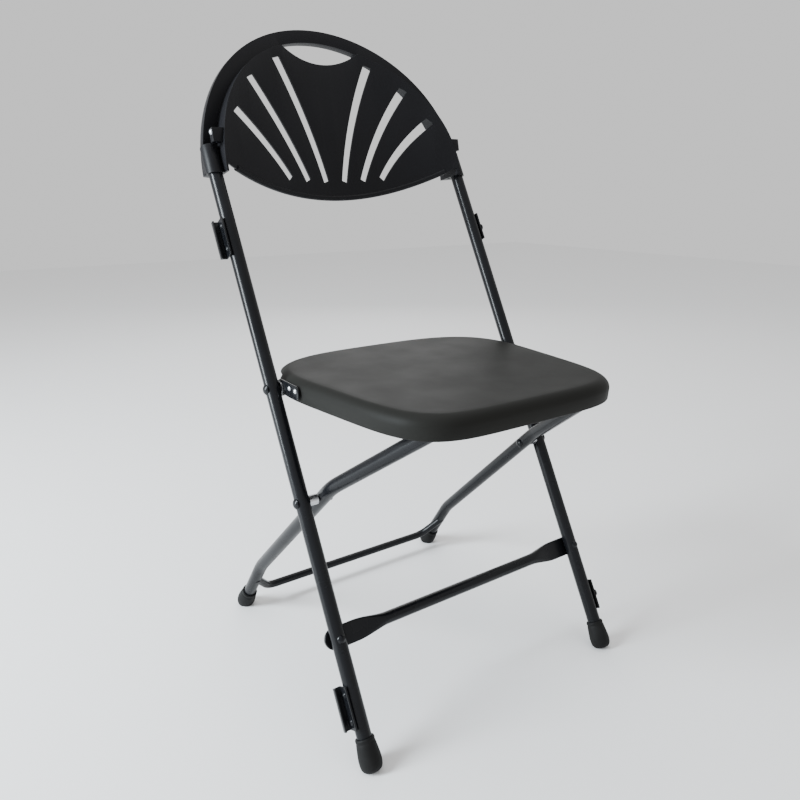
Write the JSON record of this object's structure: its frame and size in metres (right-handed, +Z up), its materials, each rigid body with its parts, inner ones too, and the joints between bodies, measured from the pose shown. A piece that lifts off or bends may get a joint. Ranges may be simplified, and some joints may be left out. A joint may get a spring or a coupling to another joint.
{
  "type": "folding chair",
  "caption": "Folding chair with straight leaning tube posts, crossing rear legs, plastic seat, arched fan back with a hand slot, and side linking studs.",
  "frame": {"origin": "on the floor under the middle of the chair's overall box", "axes": "+Z up, -Y the way a sitter faces, X across the chair"},
  "size_m": [0.4514, 0.5164, 0.8917],
  "materials": {
    "black_steel": "gloss black powder coat",
    "back_plastic": "fine satin moulded plastic",
    "seat_plastic": "satin moulded plastic",
    "sleeve_plastic": "natural black nylon",
    "foot_rubber": "matt black",
    "zinc_steel": "zinc plate"
  },
  "bodies": {
    "frame": {"post_left": "black_steel", "post_right": "black_steel", "front_stretcher": "black_steel", "stretcher_rivets": "black_steel", "backrest": "back_plastic", "backrest_lugs": "back_plastic", "backrest_screws": "zinc_steel", "foot_front_left": "foot_rubber", "foot_front_right": "foot_rubber", "receiver_upper": "black_steel", "receiver_lower": "black_steel", "stud_plate_upper": "black_steel", "stud_plate_lower": "black_steel", "link_studs": "black_steel", "link_rivets": "black_steel", "seat_pivot_rivets": "black_steel", "seat_pivot_washers": "zinc_steel", "leg_pivot_rivets": "black_steel", "leg_pivot_spacers": "zinc_steel"},
    "seat": {"seat_shell": "seat_plastic", "seat_rail_left": "black_steel", "seat_rail_right": "black_steel", "rail_screws": "zinc_steel", "seat_hinge_left": "black_steel", "seat_hinge_right": "black_steel", "hinge_screws": "zinc_steel"},
    "rear_frame": {"rear_leg_left": "black_steel", "rear_leg_right": "black_steel", "rear_stretcher": "black_steel", "cross_rod": "zinc_steel", "rod_sleeves": "sleeve_plastic", "foot_rear_left": "foot_rubber", "foot_rear_right": "foot_rubber"}
  },
  "joints": [
    {"name": "seat_fold", "type": "hinge", "parent": "frame", "child": "seat", "pos_m": [0, 0.00979, 0.42], "axis": [-1, 0, 0], "range_deg": [0, 118.6]},
    {"name": "rear_leg_fold", "type": "hinge", "parent": "frame", "child": "rear_frame", "pos_m": [0, -0.06163, 0.289], "axis": [-1, 0, 0], "range_deg": [0, 65.6]}
  ],
  "couplings": [
    {"joint": "rear_leg_fold", "follows": "seat_fold", "ratio": 0.5523}
  ]
}
